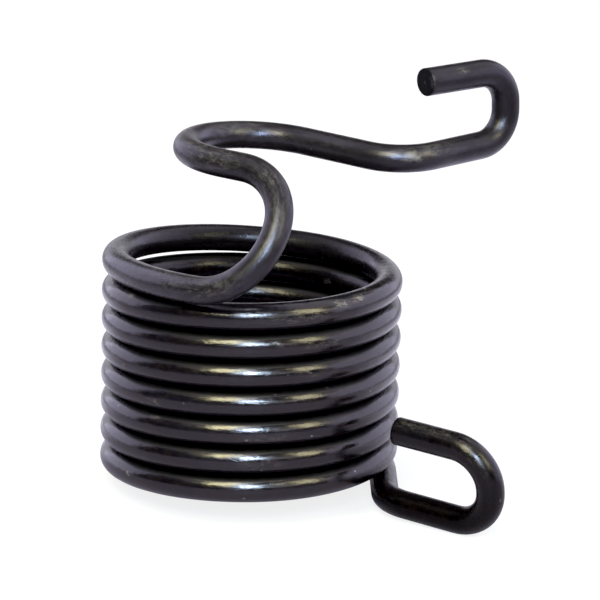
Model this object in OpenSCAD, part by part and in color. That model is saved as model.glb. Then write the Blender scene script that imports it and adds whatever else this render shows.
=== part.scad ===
// Retaining coil spring bent from one length of round wire. A close coil stands upright. Its lower
// end is turned out into a finger loop. Its upper end opens over the rim, rises in a leaning neck,
// bends round the coil axis as an open gate, and runs out along an arm to a hook.
//
// Millimetres. The coil axis is the Z axis. The steady coil starts on the right (+X), where the
// middle of the wire is at z = 0, and climbs counter-clockwise seen from above.

/* [Wire and coil] */
// Diameter of the wire
wire_d = 3.45; // [2.4:0.05:4.2]
// Diameter of the coil, between wire centres
coil_d = 34; // [29:0.5:41]
// Clear gap between neighbouring turns
turn_gap = 0.1; // [0.05:0.05:1.5]
// Whole turns of the steady coil; three quarters of a turn come on top
turns = 6; // [3:1:9]

/* [Top turn] */
// How far beyond the right side the top turn steepens, degrees round the coil
lift_at = 70; // [45:5:80]
// How much it steepens there
lift = 5.2; // [0:0.1:6]
// How much it flattens again at the back
settle = 5.8; // [0:0.1:7]
// How much it steepens at the left side
left_lift = 0.9; // [0:0.1:2]
// How far the top turn follows the coil beyond the left side
reach = 23; // [18:1:30]
// Radius of the part that opens over the rim at the front
opening_r = 32; // [26:1:40]
// Angle of that opening part
opening_a = 28; // [22:1:34]
// How far that part rolls up out of the coil's plane
opening_roll = 5; // [0:1:10]

/* [Neck] */
// Radius of the neck's lower bend
neck_low_r = 8.2; // [6.5:0.1:10]
// Angle of the neck's lower bend
neck_low_a = 99; // [90:1:108]
// How far that bend rolls up, which makes the neck rise
neck_low_roll = 53; // [44:1:60]
// Radius of the neck's upper bend
neck_high_r = 7.3; // [6:0.1:9]
// Angle of the neck's upper bend
neck_high_a = 80; // [70:1:90]
// How far that bend rolls on
neck_high_roll = 10; // [0:1:20]

/* [Gate] */
// Straight wire from the neck into the gate
gate_lead = 3.1; // [2:0.1:6]
// Radius of the gate's bend, to the middle of the wire
gate_r = 9.1; // [8:0.1:11]
// Angle of the gate's bend
gate_a = 184; // [165:1:190]

/* [Arm and hook] */
// Straight wire from the gate to the arm's bend
arm_run = 9.6; // [7:0.1:12]
// Radius of the arm's bend
arm_r = 6.9; // [5:0.1:10]
// Angle of the arm's bend
arm_a = 71; // [55:1:80]
// How far that bend lifts the arm, degrees
arm_roll = 6; // [0:1:12]
// Straight wire from that bend to the hook
arm_end = 7.4; // [5:0.1:12]
// Radius of the hook's two bends
hook_r = 4.1; // [3.5:0.1:6]
// Angle of each of them
hook_a = 89; // [80:1:95]
// How far the hook leans out of upright, degrees
hook_lean = 1; // [0:1:10]
// Straight wire between the hook's bends
hook_rise = 0.9; // [0.5:0.1:4]
// Straight wire at the end of the hook
hook_run = 8.7; // [4:0.1:12]

/* [Finger loop] */
// Straight wire that leaves the coil's lower end
leave_run = 8.3; // [5:0.1:10]
// Radius of the bend that turns the wire outwards
turnout_r = 5.3; // [4:0.1:7]
// Angle of that bend
turnout_a = 56; // [48:1:66]
// How far that bend drops the loop's lower leg, degrees
turnout_drop = 1; // [0:1:6]
// Straight lower leg of the loop
leg_run = 7.3; // [6:0.1:12]
// Radius of the loop's two bends
loop_r = 4.9; // [3.7:0.1:6.5]
// Straight wire between the loop's bends
loop_rise = 0.3; // [0.3:0.1:4]
// Straight upper leg of the loop
loop_run = 8.1; // [4:0.1:8.5]
// How far the loop leans out of upright, degrees
loop_lean = 12; // [0:1:20]

/* [Hidden] */
$fn = 48;
// Neighbouring pieces of wire join as plug and socket: every second one is a hair slimmer
// and reaches a little way into the next.
slimmer = 0.05;
plug = 0.05;
oxide = [0.19, 0.18, 0.20];

// The steady coil is a chain of quarter-turn bends, each in its own tilted plane, that meet
// without a kink.
pitch = wire_d + turn_gap;
coil_r = coil_d / 2;
quarters = 4 * turns + 3;
climb = pitch / 4;
tilt = atan(climb / (2 * coil_r * sin(45)));
sweep = 2 * atan(cos(tilt));
bend_r = norm([2 * coil_r * sin(45), climb]) / (2 * sin(sweep / 2));
offset_r = coil_r * cos(45) - bend_r * cos(sweep / 2);
// the roll from one quarter's plane to the next
twist = acos(pow(cos(tilt), 2));

// ---- directions -------------------------------------------------------------------------
// v turned by angle a about the unit vector k
function turned(v, k, a) = v * cos(a) + cross(k, v) * sin(a) + k * (k * v) * (1 - cos(a));
// the direction of v's part that is square to the unit vector t
function square_to(v, t) = let (w = v - t * (v * t)) w / norm(w);
function about_z(v, a) = turned(v, [0, 0, 1], a);

// ---- a wire as a list of moves ------------------------------------------------------------
// A frame is [point, direction of the wire, side the last bend curved to].
// A move is a straight run, or a bend that curves towards one side: "on" keeps the side of the
// bend before, "right" and "left" are level, "up" is upright. roll turns that side about the wire.
function run(length) = [length];
function bend(r, a, roll = 0, side = "on") = [r, a, roll, side];
function is_run(m) = len(m) == 1;
function side_of(f, m) =
    let (s = m[3] == "up" ? [0, 0, 1]
           : m[3] == "right" ? cross(f[1], [0, 0, 1])
           : m[3] == "left" ? cross([0, 0, 1], f[1])
           : f[2])
    turned(square_to(s, f[1]), f[1], m[2]);
function after(f, m) =
    is_run(m) ? [f[0] + f[1] * m[0], f[1], f[2]]
    : let (s = side_of(f, m), k = cross(f[1], s))
      [f[0] + s * m[0] - turned(s, k, m[1]) * m[0], turned(f[1], k, m[1]), turned(s, k, m[1])];
function frames(f, moves, i = 0) =
    i == len(moves) ? [] : concat([f], frames(after(f, moves[i]), moves, i + 1));

// puts the children's x, y, z axes and origin at the given vectors
module placed(x, y, z, p) {
    multmatrix([[x[0], y[0], z[0], p[0]], [x[1], y[1], z[1], p[1]], [x[2], y[2], z[2], p[2]], [0, 0, 0, 1]])
        children();
}

// one move's piece of wire; back and ahead are how far it reaches beyond its two ends
module piece(f, m, d, back, ahead) {
    if (is_run(m)) {
        s = square_to(f[2], f[1]);
        placed(s, cross(f[1], s), f[1], f[0] - f[1] * back)
            cylinder(d = d, h = m[0] + back + ahead);
    } else {
        s = side_of(f, m);
        per_mm = 180 / PI / m[0];
        placed(-s, f[1], cross(f[1], s), f[0] + s * m[0])
            rotate_extrude(angle = m[1] + (back + ahead) * per_mm, start = -back * per_mm)
                translate([m[0], 0]) circle(d = d);
    }
}

// the wire along a list of moves; its first piece plugs into the coil
module wire(start, moves) {
    f = frames(start, moves);
    for (i = [0:len(moves) - 1]) {
        reach_in = i % 2 == 0 ? plug : 0;
        piece(f[i], moves[i], wire_d - (i % 2 == 0 ? slimmer : 0),
              reach_in, i == len(moves) - 1 ? 0 : reach_in);
    }
}

// ---- the coil and its two ends --------------------------------------------------------------
// the frame at the coil's upper end (way = 1) or lower end (way = -1), pointing out of the coil
function coil_end(way) =
    let (a = way * sweep / 2, q = way > 0 ? quarters - 1 : 0, turn = q * 90 + 45,
         r = [cos(a), sin(a) * cos(tilt), sin(a) * sin(tilt)],
         t = [-sin(a), cos(a) * cos(tilt), cos(a) * sin(tilt)])
    [about_z([offset_r, 0, (q + 0.5) * climb] + r * bend_r, turn), about_z(t, turn) * way, about_z(-r, turn)];

module coil() {
    color(oxide)
        for (i = [0:quarters - 1]) {
            reach_in = i % 2 == 1 ? plug : 0;
            a = sweep + 2 * reach_in * 180 / PI / bend_r;
            translate([0, 0, (i + 0.5) * climb]) rotate([0, 0, i * 90 + 45]) translate([offset_r, 0, 0])
                rotate([tilt, 0, 0])
                    rotate_extrude(angle = a, start = -a / 2)
                        translate([bend_r, 0]) circle(d = wire_d - (i % 2 == 1 ? slimmer : 0));
        }
}

// top turn, neck, gate, arm and hook
module upper_end() {
    color(oxide)
        wire(coil_end(1), [
            bend(bend_r, 90, twist),
            bend(bend_r, lift_at, twist),
            bend(bend_r, 90 - lift_at, lift),
            bend(bend_r, 90, twist - settle),
            bend(bend_r, reach, twist + left_lift),
            bend(opening_r, opening_a, opening_roll),
            bend(neck_low_r, neck_low_a, neck_low_roll),
            bend(neck_high_r, neck_high_a, neck_high_roll),
            run(gate_lead),
            bend(gate_r, gate_a, 0, "right"),
            run(arm_run),
            bend(arm_r, arm_a, arm_roll, "left"),
            run(arm_end),
            bend(hook_r, hook_a, hook_lean, "up"),
            run(hook_rise),
            bend(hook_r, hook_a),
            run(hook_run)
        ]);
}

// the finger loop
module lower_end() {
    color(oxide)
        wire(coil_end(-1), [
            run(leave_run),
            bend(turnout_r, turnout_a, 180 - turnout_drop),
            run(leg_run),
            bend(loop_r, 90, loop_lean, "up"),
            run(loop_rise),
            bend(loop_r, 90),
            run(loop_run)
        ]);
}

module spring() {
    coil();
    upper_end();
    lower_end();
}

spring();
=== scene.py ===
from math import acos, atan, cos, degrees, hypot, pi, radians, sin, tan

import bpy
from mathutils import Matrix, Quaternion, Vector, kdtree


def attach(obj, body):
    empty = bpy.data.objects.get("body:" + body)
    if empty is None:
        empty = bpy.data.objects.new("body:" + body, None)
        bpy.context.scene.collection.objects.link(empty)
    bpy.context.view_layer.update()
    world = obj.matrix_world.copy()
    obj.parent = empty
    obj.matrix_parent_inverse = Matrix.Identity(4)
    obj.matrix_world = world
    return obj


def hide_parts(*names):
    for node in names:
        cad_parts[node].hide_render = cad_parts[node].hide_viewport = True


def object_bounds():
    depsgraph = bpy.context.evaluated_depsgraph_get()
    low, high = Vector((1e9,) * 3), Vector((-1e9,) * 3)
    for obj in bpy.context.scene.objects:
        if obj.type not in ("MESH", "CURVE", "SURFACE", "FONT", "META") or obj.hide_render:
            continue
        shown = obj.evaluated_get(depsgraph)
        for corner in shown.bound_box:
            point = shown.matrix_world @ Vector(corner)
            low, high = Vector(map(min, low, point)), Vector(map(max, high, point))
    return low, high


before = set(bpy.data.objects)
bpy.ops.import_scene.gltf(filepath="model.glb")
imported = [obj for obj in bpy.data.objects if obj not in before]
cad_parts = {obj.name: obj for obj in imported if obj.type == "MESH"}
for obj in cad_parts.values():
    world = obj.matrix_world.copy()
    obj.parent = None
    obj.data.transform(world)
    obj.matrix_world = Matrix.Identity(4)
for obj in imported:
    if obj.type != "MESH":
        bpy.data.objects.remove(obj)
cad_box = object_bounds()

MM = 0.001
UP = Vector((0, 0, 1))

# ---- sizes, as in part.scad, millimetres and degrees --------------------------------------
WIRE_D = 3.45
WIRE_R = WIRE_D / 2 - 0.001  # a hair slim, so that the mesh stays inside the CAD model's box
COIL_R = 17.0
TURN_GAP = 0.1
TURNS = 6  # whole turns of the steady coil; three quarters of a turn come on top

LIFT_AT, LIFT, SETTLE, LEFT_LIFT, REACH = 70, 5.2, 5.8, 0.9, 23
OPENING_R, OPENING_A, OPENING_ROLL = 32, 28, 5
NECK_LOW_R, NECK_LOW_A, NECK_LOW_ROLL = 8.2, 99, 53
NECK_HIGH_R, NECK_HIGH_A, NECK_HIGH_ROLL = 7.3, 80, 10
GATE_LEAD, GATE_R, GATE_A = 3.1, 9.1, 184
ARM_RUN, ARM_R, ARM_A, ARM_ROLL, ARM_END = 9.6, 6.9, 71, 6, 7.4
HOOK_R, HOOK_A, HOOK_LEAN, HOOK_RISE, HOOK_RUN = 4.1, 89, 1, 0.9, 8.7
LEAVE_RUN, TURNOUT_R, TURNOUT_A, TURNOUT_DROP = 8.3, 5.3, 56, 1
LEG_RUN, LOOP_R, LOOP_LEAN, LOOP_RISE, LOOP_RUN = 7.3, 4.9, 12, 0.3, 8.1

# the steady coil is a chain of quarter-turn bends, each in its own tilted plane
QUARTERS = 4 * TURNS + 3
CLIMB = (WIRE_D + TURN_GAP) / 4
CHORD = 2 * COIL_R * sin(radians(45))
TILT = atan(CLIMB / CHORD)
SWEEP = degrees(2 * atan(cos(TILT)))
BEND_R = hypot(CHORD, CLIMB) / (2 * sin(radians(SWEEP / 2)))
TWIST = degrees(acos(cos(TILT) ** 2))  # the roll from one quarter's plane to the next


def run(length):
    return {"length": length}


def bend(radius, angle, roll=0.0, side="on"):
    return {"radius": radius, "angle": angle, "roll": roll, "side": side}


COIL = [bend(BEND_R, SWEEP, TWIST if i else 0) for i in range(QUARTERS)]
UPPER_END = [
    bend(BEND_R, 90, TWIST),
    bend(BEND_R, LIFT_AT, TWIST),
    bend(BEND_R, 90 - LIFT_AT, LIFT),
    bend(BEND_R, 90, TWIST - SETTLE),
    bend(BEND_R, REACH, TWIST + LEFT_LIFT),
    bend(OPENING_R, OPENING_A, OPENING_ROLL),
    bend(NECK_LOW_R, NECK_LOW_A, NECK_LOW_ROLL),
    bend(NECK_HIGH_R, NECK_HIGH_A, NECK_HIGH_ROLL),
    run(GATE_LEAD),
    bend(GATE_R, GATE_A, 0, "right"),
    run(ARM_RUN),
    bend(ARM_R, ARM_A, ARM_ROLL, "left"),
    run(ARM_END),
    bend(HOOK_R, HOOK_A, HOOK_LEAN, "up"),
    run(HOOK_RISE),
    bend(HOOK_R, HOOK_A),
    run(HOOK_RUN),
]
LOWER_END = [
    run(LEAVE_RUN),
    bend(TURNOUT_R, TURNOUT_A, 180 - TURNOUT_DROP),
    run(LEG_RUN),
    bend(LOOP_R, 90, LOOP_LEAN, "up"),
    run(LOOP_RISE),
    bend(LOOP_R, 90),
    run(LOOP_RUN),
]


# ---- the path of the wire --------------------------------------------------------------------
def turned(v, axis, angle):
    return Quaternion(axis, radians(angle)) @ v


def square_to(v, direction):
    return (v - direction * v.dot(direction)).normalized()


# how far apart the rings of the wire stand, in millimetres
STRAIGHT_STEP = 0.6
SHORTEST_STEP, LONGEST_STEP, STEP_PER_RADIUS = 0.3, 0.75, 0.03


def step_for(radius):
    """The step between rings in a bend."""
    return min(LONGEST_STEP, SHORTEST_STEP + radius * STEP_PER_RADIUS)


def follow(point, along, side, moves):
    """(point, direction) at each ring along the moves, and the point, direction and side at their end."""
    rings = [(point.copy(), along.copy())]
    for move in moves:
        if "length" in move:
            count = round(move["length"] / STRAIGHT_STEP) or 1
            for i in range(1, count + 1):
                rings.append((point + along * (move["length"] * i / count), along.copy()))
            point = point + along * move["length"]
            continue
        sides = {"up": UP, "right": along.cross(UP), "left": UP.cross(along), "on": side}
        side = turned(square_to(sides[move["side"]], along), along, move["roll"])
        axis = along.cross(side)
        radius = move["radius"]
        middle = point + side * radius
        count = round(radians(move["angle"]) * radius / step_for(radius))
        for i in range(1, count + 1):
            a = move["angle"] * i / count
            rings.append((middle - turned(side, axis, a) * radius, turned(along, axis, a)))
        point, along = rings[-1]
        side = turned(side, axis, move["angle"])
    return rings, (point, along, side)


def wire_path():
    """Every ring of the wire, from the finger loop's end to the hook's end."""
    half = radians(SWEEP / 2)
    offset = CHORD / 2 - BEND_R * cos(half)
    out = Vector((cos(half), -sin(half) * cos(TILT), -sin(half) * sin(TILT)))
    along = Vector((sin(half), cos(half) * cos(TILT), cos(half) * sin(TILT)))
    start = Vector((offset, 0, CLIMB / 2)) + out * BEND_R
    start, along, side = (turned(v, UP, 45) for v in (start, along, -out))
    up_the_coil, (p, t, s) = follow(start, along, side, COIL + UPPER_END)
    down, _ = follow(start, -along, side, LOWER_END)
    return [(p, -t) for p, t in reversed(down)] + up_the_coil[1:]


# ---- marks on the wire ------------------------------------------------------------------------
# Places along the wire are in millimetres from the finger loop's end.
def rub(at, azimuth, elevation, length, width, strength):
    """A worn spot: its place along the wire, the way it faces, and its reach along and round the wire."""
    a, e = radians(azimuth), radians(elevation)
    facing = Vector((cos(a) * cos(e), sin(a) * cos(e), sin(e)))
    return {"at": at, "facing": facing, "length": length, "width": width, "strength": strength}


RUBS = [
    # foot of the neck, where it lies on the coil
    rub(866, -140, 62, 9, 2.0, 0.3),
    rub(871, -122, 20, 6, 1.6, 0.35),
    # where the chisel's collar and the hook rub the uppermost strands
    rub(771, -66, -2, 9, 0.8, 0.28),
    rub(776.5, -54, 38, 1.6, 0.5, 0.9),
    rub(779.5, -45, 44, 1.2, 0.5, 1.0),
    rub(667, -60, 2, 6, 0.45, 0.32),
    rub(562, -70, -6, 5, 0.5, 0.28),
    rub(340, -78, -14, 5, 0.6, 0.3),
    rub(233, -84, -10, 4, 0.6, 0.3),
    # neck, gate, arm and hook
    rub(881, -98, 35, 5, 1.2, 0.3),
    rub(886, -90, 10, 8, 2.2, 0.32),
    rub(888, -98, 54, 2.5, 0.7, 0.6),
    rub(899, -110, 50, 9, 2.2, 0.42),
    rub(915, -60, 50, 8, 1.4, 0.3),
    rub(940, -78, 26, 1.6, 0.8, 1.0),
    rub(943, -60, 40, 3, 1.0, 0.4),
    rub(968.3, -57, 38, 1.0, 0.4, 0.9),
    rub(973.5, -50, 10, 1.0, 0.8, 0.6),
    # small bright nicks
    rub(750, -145, 54, 0.9, 0.35, 1.2),
    rub(662, -81, 20, 0.6, 0.25, 1.1),
    rub(701, -128, -8, 0.8, 0.3, 1.0),
    rub(559, -80, 12, 0.9, 0.35, 1.1),
    rub(434, -128, -12, 0.8, 0.3, 1.0),
    rub(327, -130, 46, 0.8, 0.3, 1.0),
    rub(128, -78, 34, 0.8, 0.3, 1.0),
    rub(109, -141, 14, 0.8, 0.3, 1.1),
    # finger loop
    rub(2, -121, 60, 2, 0.6, 0.6),
    rub(7, -117, 66, 5, 0.8, 0.5),
    rub(11, -92, 30, 4, 1.2, 0.3),
]


def rubbed_at(s, normal):
    """How far a point of the surface is rubbed, 0 to 1."""
    worn = 0.0
    for mark in RUBS:
        along = (s - mark["at"]) / mark["length"]
        if abs(along) < 1:
            across = normal.angle(mark["facing"]) * WIRE_R / mark["width"]
            worn = max(worn, mark["strength"] * (1 - along * along) * max(0.0, 1 - across * across / 2))
    return worn


def smooth(low, high, x):
    t = min(1.0, max(0.0, (x - low) / (high - low)))
    return t * t * (3 - 2 * t)


# The finger loop is made darker and less shiny, most of all on its lower leg, and soot lies
# thinly on the bent neck and on the hook. Inside the coil, painted shade darkens the faces toward the
# axis.
LOOP_TO = 46
LEG_FROM = 22
UPPER_LEG_DARKENING = 0.6
INSIDE_SHADE = 0.53
BENT_NECK_FROM, BENT_NECK_TO = 878, 890
NECK_SOOT = 0.3
HOOK_FROM = 945
HOOK_SOOT = 0.45
# Handling dulls the neck, gate, arm and hook, and a little of the top turn.
NECK_FOOT = 862
TOP_TURN = 800
TOP_TURN_DULLNESS = 0.6
# Painted shade darkens the grooves where a neighbouring turn is nearer than this, solid in the first part
# of that reach.
NEAR = 1.45
SOLID_SHADE = 0.35
# Rings this far apart along the wire are different turns.
NEXT_TURN = 12


def darkening_at(s):
    """How far the wire is darkened there, apart from the painted shade inside the coil, 0 to 1."""
    loop_darkness = UPPER_LEG_DARKENING + (1 - UPPER_LEG_DARKENING) * smooth(LEG_FROM - 10, LEG_FROM, s)
    on_loop = loop_darkness * (1 - smooth(LOOP_TO - 4, LOOP_TO, s))
    bent_neck = smooth(BENT_NECK_FROM - 5, BENT_NECK_FROM, s) - smooth(BENT_NECK_TO, BENT_NECK_TO + 5, s)
    on_hook = smooth(HOOK_FROM, HOOK_FROM + 10, s)
    return max(on_loop, NECK_SOOT * bent_neck, HOOK_SOOT * on_hook)


def dullness(s):
    """How dull handling has made the wire there, 0 to 1."""
    upper = smooth(NECK_FOOT - 12, NECK_FOOT + 12, s)
    return max(upper, TOP_TURN_DULLNESS * smooth(TOP_TURN - 10, TOP_TURN + 15, s))


def groove_shade_reach(spot):
    """Painted shade fills the grooves at the front and back and leaves the coil's two sides clear."""
    return NEAR * smooth(0.25, 0.72, abs(spot.y) / hypot(spot.x, spot.y))


def inside_coil(spot, normal):
    """How far the surface faces the coil axis, 0 to 1."""
    outwards = Vector((spot.x, spot.y, 0)).normalized()
    return smooth(0.1, 0.7, -normal.dot(outwards))


# ---- the wire as a mesh -----------------------------------------------------------------------
SIDES = 36
# The neck's lower bend draws the wire out a little thinner.
DRAWN_FROM, DRAWN_TO = 868, 883
DRAWN_OUT = 0.035
# The round wire stops a little short of each end, and a slightly domed, sheared face takes it to
# its full length. The face is given by the radius and height of its rings.
INSET = 0.16
FACE_R = 1.2  # inside this radius the face isn't rubbed
FACE_GRIME = 0.85
DOME = [(1.69, 0.035), (1.62, 0.06), (1.4, 0.085), (1.0, 0.1), (0.6, 0.11), (0.25, 0.115)]


def places_along(path):
    """Each ring's (point, direction, two crosswise directions carried along untwisted, arc length)."""
    across = square_to(UP, path[0][1])
    places, travelled = [], 0.0
    for i, (point, along) in enumerate(path):
        if i:
            travelled += (point - path[i - 1][0]).length
            across = square_to(across, along)
        places.append((point, along, across, along.cross(across), travelled))
    return places


def build_wire():
    places = places_along(wire_path())
    strands = kdtree.KDTree(len(places))
    for i, place in enumerate(places):
        strands.insert(place[0], i)
    strands.balance()
    verts, faces = [], []
    wire_space = []  # places on the wire as if it were straight, in millimetres
    state = []  # painted shade in the grooves with the dark end faces, how dull, and darkening with painted shade inside the coil
    rubbed = []

    def clearance(spot, s):
        """How far the nearest other turn is from that spot on the surface, up to NEAR."""
        around = strands.find_range(spot, WIRE_R + NEAR)
        gaps = [gap for _, i, gap in around if abs(places[i][4] - s) > NEXT_TURN]
        return min(gaps, default=WIRE_R + NEAR) - WIRE_R

    def ring(point, a, b, s, radius, face=0.0):
        """Adds a ring of the wire, or of an end's face where face is 1, and returns its first vertex."""
        first = len(verts)
        for k in range(SIDES):
            around = 2 * pi * k / SIDES
            normal = a * cos(around) + b * sin(around)
            spot = point + normal * radius
            verts.append(spot * MM)
            wire_space.append((cos(around) * radius, sin(around) * radius, s))
            worn = rubbed_at(s, normal) if radius > FACE_R else 0.0
            # painted shade: the grooves between neighbouring turns are darkened, and the end faces' own
            # dark colour is carried with it
            reach = groove_shade_reach(spot)
            groove_shade_and_end_face = 1 - smooth(SOLID_SHADE * reach, reach + 0.01, clearance(spot, s))
            darkening_and_inside_shade = darkening_at(s)
            # painted shade: faces inside the coil that turn toward its axis are darkened
            if LOOP_TO < s < NECK_FOOT:
                darkening_and_inside_shade = max(darkening_and_inside_shade, INSIDE_SHADE * inside_coil(spot, normal))
            state.append((max(groove_shade_and_end_face, face * (FACE_GRIME - worn)), dullness(s), darkening_and_inside_shade))
            rubbed.append(worn)
        return first

    def join(r0, r1):
        for k in range(SIDES):
            k1 = (k + 1) % SIDES
            faces.append((r0 + k, r0 + k1, r1 + k1, r1 + k))

    def cap(place, way, last):
        point, along, a, b, s = place
        for radius, height in DOME:
            low = height - DOME[-1][1]
            r = ring(point + along * way * low, a, b, s + way * height, radius, face=1.0)
            join(last, r) if way > 0 else join(r, last)
            last = r
        tip = len(verts)
        verts.append(point * MM)
        wire_space.append((0, 0, s + way * DOME[-1][1]))
        state.append((0, 0, 1))
        rubbed.append(0)
        for k in range(SIDES):
            k1 = (k + 1) % SIDES
            faces.append((last + k, last + k1, tip) if way > 0 else (last + k1, last + k, tip))

    point, along, a, b, s = places[0]
    rings = [ring(point + along * INSET, a, b, s, WIRE_R)]
    for point, along, a, b, s in places[1:-1]:
        drawn = smooth(DRAWN_FROM - 6, DRAWN_FROM, s) - smooth(DRAWN_TO, DRAWN_TO + 6, s)
        rings.append(ring(point, a, b, s, WIRE_R - DRAWN_OUT * drawn))
    point, along, a, b, s = places[-1]
    rings.append(ring(point - along * INSET, a, b, s, WIRE_R))
    for r0, r1 in zip(rings, rings[1:]):
        join(r0, r1)
    cap(places[0], -1, rings[0])
    cap(places[-1], 1, rings[-1])

    mesh = bpy.data.meshes.new("bent_wire")
    mesh.from_pydata(verts, [], faces)
    for name, kind, field, values in (
        ("wire_space", "FLOAT_VECTOR", "vector", [c for v in wire_space for c in v]),
        ("wire_state", "FLOAT_VECTOR", "vector", [c for v in state for c in v]),
        ("rubbed", "FLOAT", "value", rubbed),
    ):
        mesh.attributes.new(name, kind, "POINT").data.foreach_set(field, values)
    mesh.polygons.foreach_set("use_smooth", [True] * len(mesh.polygons))
    mesh.update()
    return bpy.data.objects.new("bent_wire", mesh)


# ---- materials --------------------------------------------------------------------------------
class Graph:
    """Short ways to add the shader nodes that the finish is made of."""

    def __init__(self, name):
        self.material = bpy.data.materials.new(name)
        self.material.use_nodes = True
        self.nodes = self.material.node_tree.nodes
        self.links = self.material.node_tree.links
        self.nodes.clear()

    def add(self, kind, **settings):
        node = self.nodes.new("ShaderNode" + kind)
        for key, value in settings.items():
            setattr(node, key, value)
        return node

    def put(self, value, socket):
        """Links value to the socket, or sets it there if it is a number or a colour."""
        if isinstance(value, bpy.types.NodeSocket):
            self.links.new(value, socket)
        elif isinstance(value, tuple) and socket.type == "RGBA":
            socket.default_value = (*value, 1)
        else:
            socket.default_value = value

    def attribute(self, name):
        return self.add("Attribute", attribute_name=name)

    def scaled(self, vector, scale):
        node = self.add("Mapping")
        self.put(vector, node.inputs["Vector"])
        node.inputs["Scale"].default_value = scale
        return node.outputs[0]

    def noise(self, vector, scale, detail=3.0, roughness=0.5):
        node = self.add("TexNoise")
        self.put(vector, node.inputs["Vector"])
        node.inputs["Scale"].default_value = scale
        node.inputs["Detail"].default_value = detail
        node.inputs["Roughness"].default_value = roughness
        return node.outputs["Fac"]

    def dots(self, vector, scale, radius, share):
        """1 inside small round dots, one in each share of the cells, 0 elsewhere."""
        node = self.add("TexVoronoi")
        self.put(vector, node.inputs["Vector"])
        node.inputs["Scale"].default_value = scale
        inside = self.ramp(node.outputs["Distance"], radius, radius * 0.5, 0, 1)
        split = self.add("SeparateColor")
        self.put(node.outputs["Color"], split.inputs[0])
        return self.math("MULTIPLY", inside, self.math("LESS_THAN", split.outputs[0], share))

    def ramp(self, value, a, b, c, d):
        """value from a..b taken to c..d, and held there beyond."""
        node = self.add("MapRange")
        for socket, number in zip(node.inputs[:5], (value, a, b, c, d)):
            self.put(number, socket)
        return node.outputs[0]

    def math(self, operation, a, b):
        node = self.add("Math", operation=operation)
        self.put(a, node.inputs[0])
        self.put(b, node.inputs[1])
        return node.outputs[0]

    def mix_shaders(self, share, a, b):
        node = self.add("MixShader")
        self.put(share, node.inputs[0])
        self.put(a.outputs[0], node.inputs[1])
        self.put(b.outputs[0], node.inputs[2])
        return node

    def mix(self, share, a, b):
        node = self.add("Mix", data_type="RGBA")
        colours = [socket for socket in node.inputs if socket.type == "RGBA"]
        self.put(share, node.inputs["Factor"])
        self.put(a, colours[0])
        self.put(b, colours[1])
        return [socket for socket in node.outputs if socket.type == "RGBA"][0]


OXIDE = (0.0022, 0.0018, 0.0028)
BROWN = (0.009, 0.0058, 0.0052)
LAVENDER = (0.006, 0.0055, 0.009)
HANDLED = (0.0105, 0.0083, 0.0085)
DUST = (0.020, 0.015, 0.012)
SCUFF = (0.13, 0.115, 0.10)
# the darkened loop, neck and hook, and painted shade inside the coil
DARKENED_AND_INSIDE_SHADE = (0.0016, 0.0011, 0.0009)
# painted shade in the grooves between turns, also the end faces' own black
GROOVE_SHADE_AND_END_FACE_BLACK = (0.0004, 0.0004, 0.0004)
# how strongly each mirrors light that falls straight on it
OXIDE_SHINE = (1, 0.97, 1)
BROWN_SHINE = (0.80, 0.74, 0.78)
HANDLED_SHINE = (0.82, 0.80, 1.0)
HANDLED_DULL_SHINE = (0.42, 0.40, 0.54)
# the shine left under painted shade in the grooves and inside the coil, and on the darkened loop, neck
# and hook and the end faces
SHADE_AND_DARKENED_SHINE = (0.02, 0.02, 0.02)
OXIDE_IOR = 1.6
# relief of the orange peel, the fine grain and the drawing lines, in millimetres
PEEL_HEIGHT, GRAIN_HEIGHT, LINE_HEIGHT = 0.032, 0.009, 0.007


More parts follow.
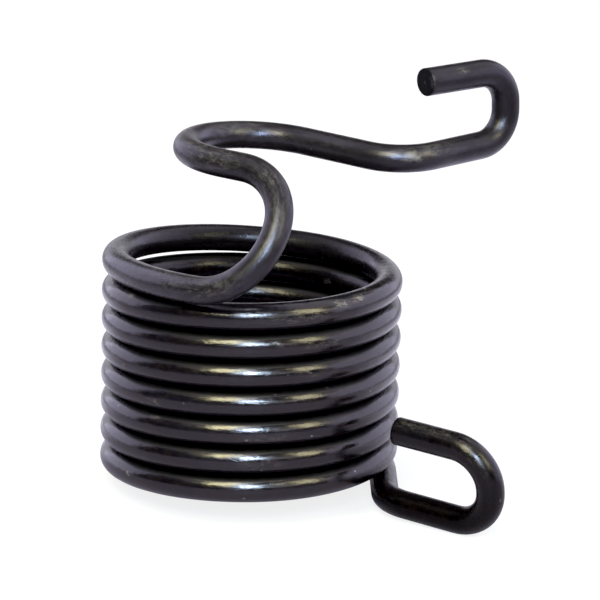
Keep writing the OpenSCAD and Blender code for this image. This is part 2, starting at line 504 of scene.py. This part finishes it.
def black_finish():
    g = Graph("black_finish")
    out = g.add("OutputMaterial")
    bsdf = g.add("BsdfPrincipled")
    g.put(bsdf.outputs[0], out.inputs[0])
    bsdf.inputs["IOR"].default_value = OXIDE_IOR

    # the place on the straightened wire, as it is, and with patterns drawn out along the wire
    even = g.attribute("wire_space").outputs["Vector"]
    long = g.scaled(even, (1, 1, 0.45))
    lines = g.scaled(even, (1, 1, 0.05))
    state = g.add("SeparateXYZ")
    g.put(g.attribute("wire_state").outputs["Vector"], state.inputs[0])
    near_turns, dull, darkening_and_inside_shade = state.outputs
    rubbed = g.attribute("rubbed").outputs["Fac"]

    # from patches of a few millimetres down to a fine grain and drawing lines
    clouds = g.noise(long, 0.35, 4, 0.6)
    blotches = g.noise(even, 1.3, 4, 0.65)
    peel = g.noise(long, 2.2, 3, 0.55)
    fine = g.noise(long, 6.0, 3, 0.6)
    drawn = g.noise(lines, 3.5, 3, 0.6)

    # painted shade in the grooves between turns, carried together with the dark end faces
    groove_shade_and_end_face = g.math("MULTIPLY", near_turns, g.ramp(blotches, 0.3, 0.6, 1.0, 0.9))
    scratches = g.ramp(g.math("ADD", fine, peel), 0.95, 1.2, 0, 1)
    scuffed = g.math("MULTIPLY", g.ramp(rubbed, 0.1, 1.0, 0, 1), scratches)
    scuffed = g.math("MAXIMUM", scuffed, g.ramp(rubbed, 0.7, 1.0, 0, 1))
    handled = g.math("MULTIPLY", dull, g.ramp(peel, 0.3, 0.65, 0.5, 1))
    dusty = g.math("MULTIPLY", rubbed, g.ramp(blotches, 0.35, 0.65, 0, 0.8))
    specks = g.dots(g.scaled(even, (1, 1, 0.8)), 0.7, 0.12, 0.12)

    colour = g.mix(g.ramp(blotches, 0.45, 0.65, 0, 1), OXIDE, BROWN)
    colour = g.mix(g.ramp(clouds, 0.5, 0.66, 0, 0.6), colour, LAVENDER)
    colour = g.mix(handled, colour, HANDLED)
    colour = g.mix(dusty, colour, DUST)
    colour = g.mix(scuffed, colour, SCUFF)
    colour = g.mix(g.math("MULTIPLY", specks, 0.7), colour, SCUFF)
    # painted shade inside the coil, with the darkened loop, neck and hook
    colour = g.mix(g.math("MULTIPLY", darkening_and_inside_shade, 0.7), colour, DARKENED_AND_INSIDE_SHADE)
    # painted shade: the grooves between turns go near black
    colour = g.mix(groove_shade_and_end_face, colour, GROOVE_SHADE_AND_END_FACE_BLACK)
    g.put(colour, bsdf.inputs["Base Color"])

    # the oxide shines unevenly, handling dulls it, and painted shade in the grooves and inside the coil
    # takes its shine off, as do the darkened loop, the soot on neck and hook and the end faces
    shine = g.mix(g.ramp(blotches, 0.35, 0.65, 0, 1), OXIDE_SHINE, BROWN_SHINE)
    worn_shine = g.mix(g.ramp(clouds, 0.42, 0.6, 0, 1), HANDLED_SHINE, HANDLED_DULL_SHINE)
    shine = g.mix(g.math("MULTIPLY", dull, 0.9), shine, worn_shine)
    shine = g.mix(g.math("MAXIMUM", groove_shade_and_end_face, g.math("MULTIPLY", darkening_and_inside_shade, 0.85)), shine, SHADE_AND_DARKENED_SHINE)
    g.put(shine, bsdf.inputs["Specular Tint"])

    rough = g.math("ADD", g.ramp(peel, 0.3, 0.7, 0.14, 0.24), g.ramp(fine, 0.3, 0.7, -0.02, 0.04))
    rough = g.math("ADD", rough, g.math("MULTIPLY", dull, 0.12))
    rough = g.math("ADD", rough, g.math("MULTIPLY", g.math("MAXIMUM", rubbed, darkening_and_inside_shade), 0.08))
    rough = g.math("MAXIMUM", rough, g.ramp(groove_shade_and_end_face, 0.1, 0.8, 0, 0.8))
    g.put(rough, bsdf.inputs["Roughness"])

    height = g.math("ADD", g.ramp(peel, 0, 1, 0, PEEL_HEIGHT), g.ramp(fine, 0, 1, 0, GRAIN_HEIGHT))
    height = g.math("ADD", height, g.ramp(drawn, 0, 1, 0, LINE_HEIGHT))
    bump = g.add("Bump")
    bump.inputs["Strength"].default_value = 1
    bump.inputs["Distance"].default_value = MM
    g.put(height, bump.inputs["Height"])
    g.put(bump.outputs[0], bsdf.inputs["Normal"])
    return g.material


# ---- camera, floor and light --------------------------------------------------------------------
CAMERA_AT = Vector((0, -0.3619, 0.1117))
CAMERA_AIM = Vector((0.006, 0, 0.022))
CAMERA_TIP = 1.48  # degrees that the camera is tipped about its line of sight
LENS = 179.2


def add_camera():
    data = bpy.data.cameras.new("camera")
    data.lens = LENS
    data.sensor_width = 36
    data.clip_start = 0.01
    camera = bpy.data.objects.new("camera", data)
    bpy.context.collection.objects.link(camera)
    camera.location = CAMERA_AT
    aim = CAMERA_AIM - CAMERA_AT
    tip = Quaternion((0, 0, 1), radians(CAMERA_TIP))
    camera.rotation_mode = "QUATERNION"
    camera.rotation_quaternion = aim.to_track_quat("-Z", "Y") @ tip
    bpy.context.scene.camera = camera


MIDDLE = Vector((0.006, 0, 0.024))  # of the spring
LIGHT_AT = 1.0  # how far off each light stands


def add_light(name, azimuth, elevation, width, height, radiance, colour):
    """A soft box of that angular width and height, seen from the object."""
    data = bpy.data.lights.new(name, "AREA")
    data.shape = "RECTANGLE"
    data.size = 2 * LIGHT_AT * tan(radians(width / 2))
    data.size_y = 2 * LIGHT_AT * tan(radians(height / 2))
    data.energy = radiance * pi * data.size * data.size_y
    data.color = colour
    light = bpy.data.objects.new(name, data)
    bpy.context.collection.objects.link(light)
    a, e = radians(azimuth), radians(elevation)
    away = Vector((cos(a) * cos(e), sin(a) * cos(e), sin(e)))
    light.location = MIDDLE + away * LIGHT_AT
    light.rotation_mode = "QUATERNION"
    light.rotation_quaternion = (-away).to_track_quat("-Z", "Y")
    light.visible_camera = False


STUDIO = (0.9, 0.86, 1, 1)
STUDIO_STRENGTH = 0.06


def add_world():
    """White where the camera looks past the floor, a dim studio for everything else."""
    world = bpy.data.worlds.new("studio")
    world.use_nodes = True
    bpy.context.scene.world = world
    nodes, links = world.node_tree.nodes, world.node_tree.links
    nodes.clear()
    out = nodes.new("ShaderNodeOutputWorld")
    seen = nodes.new("ShaderNodeBackground")
    seen.inputs["Color"].default_value = (1, 1, 1, 1)
    lit = nodes.new("ShaderNodeBackground")
    lit.inputs["Color"].default_value = STUDIO
    lit.inputs["Strength"].default_value = STUDIO_STRENGTH
    path = nodes.new("ShaderNodeLightPath")
    mix = nodes.new("ShaderNodeMixShader")
    links.new(path.outputs["Is Camera Ray"], mix.inputs[0])
    links.new(lit.outputs[0], mix.inputs[1])
    links.new(seen.outputs[0], mix.inputs[2])
    links.new(mix.outputs[0], out.inputs[0])


FRONT_FLOOR = (0.335, 0.295, 0.38)
BACK_FLOOR = (0.64, 0.60, 0.74)
DARK = (0, 0, 0)
PALE = (0.8, 0.8, 0.8, 1)


def floor_finish():
    """A pale sweep. Bounced light sees a lavender grey with light and shade painted in: paler behind the
    spring, darker in front and far off.
    """
    g = Graph("floor")
    out = g.add("OutputMaterial")
    spot = g.add("TexCoord").outputs["Object"]
    place = g.add("SeparateXYZ")
    g.put(spot, place.inputs[0])
    # how far back a spot lies, where back is turned a little to the right
    behind = g.math("ADD", g.math("MULTIPLY", place.outputs[0], 0.25), place.outputs[1])
    far = g.add("VectorMath", operation="LENGTH")
    g.put(spot, far.inputs[0])
    # painted light and shade on the floor for bounced light: paler behind, darker in front and far off
    tone = g.mix(g.ramp(behind, 0, 0.04, 0, 1), FRONT_FLOOR, BACK_FLOOR)
    tone = g.mix(g.ramp(far.outputs["Value"], 0.08, 0.22, 0, 0.5), tone, DARK)

    grey = g.add("BsdfDiffuse")
    g.put(tone, grey.inputs[0])
    polish = g.add("BsdfGlossy")
    polish.inputs["Roughness"].default_value = 0.3
    pale = g.add("BsdfDiffuse")
    pale.inputs[0].default_value = PALE
    glow = g.add("Emission")

    bounced = g.mix_shaders(0.012, grey, polish)
    seen = g.mix_shaders(0.8, pale, glow)
    is_camera = g.add("LightPath").outputs["Is Camera Ray"]
    g.put(g.mix_shaders(is_camera, bounced, seen).outputs[0], out.inputs[0])
    return g.material


FLOOR_REACH = 3


def add_floor(level):
    mesh = bpy.data.meshes.new("floor")
    far = FLOOR_REACH
    corners = [(-far, -far, 0), (far, -far, 0), (far, far, 0), (-far, far, 0)]
    mesh.from_pydata(corners, [], [(0, 1, 2, 3)])
    floor = bpy.data.objects.new("floor", mesh)
    bpy.context.collection.objects.link(floor)
    floor.location.z = level
    mesh.materials.append(floor_finish())


BLACK_LEVEL = 0.005


def set_tones():
    """Deepens the blacks a little."""
    view = bpy.context.scene.view_settings
    view.view_transform = "Standard"
    view.use_curve_mapping = True
    view.curve_mapping.black_level = (BLACK_LEVEL, BLACK_LEVEL, BLACK_LEVEL)
    view.curve_mapping.update()


wire = build_wire()
bpy.context.collection.objects.link(wire)
wire.data.materials.append(black_finish())
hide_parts("spring")
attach(wire, "root")

add_camera()
add_floor(cad_box[0].z)
add_world()
# name, azimuth, elevation, width and height in degrees, radiance, colour
add_light("key", -90, 27, 14, 18, 56, (0.64, 0.82, 1.0))
add_light("key_upper", -98, 48, 11, 18, 10, (0.8, 0.92, 1.0))
add_light("warm_left", -115, 43, 18, 28, 19, (1.0, 0.96, 0.56))
add_light("warm_right", -43, 35, 17, 30, 9, (1.0, 0.96, 0.6))
add_light("front_fill", -66, 20, 22, 14, 1.5, (1.0, 0.97, 0.95))
add_light("side_right", 14, 14, 82, 50, 1.9, (0.80, 0.78, 1.0))
add_light("high_right", 20, 58, 56, 44, 1.3, (0.92, 0.9, 1.0))
add_light("side_left", 147, 18, 54, 54, 1.9, (0.79, 0.77, 1.0))
add_light("high_left", 180, 60, 60, 34, 0.9, (0.92, 0.9, 1.0))
add_light("backdrop", 90, 6, 70, 26, 1.0, (0.92, 0.9, 1.0))
add_light("key_top", -95, 70, 12, 30, 3.5, (0.95, 0.95, 1.0))
set_tones()
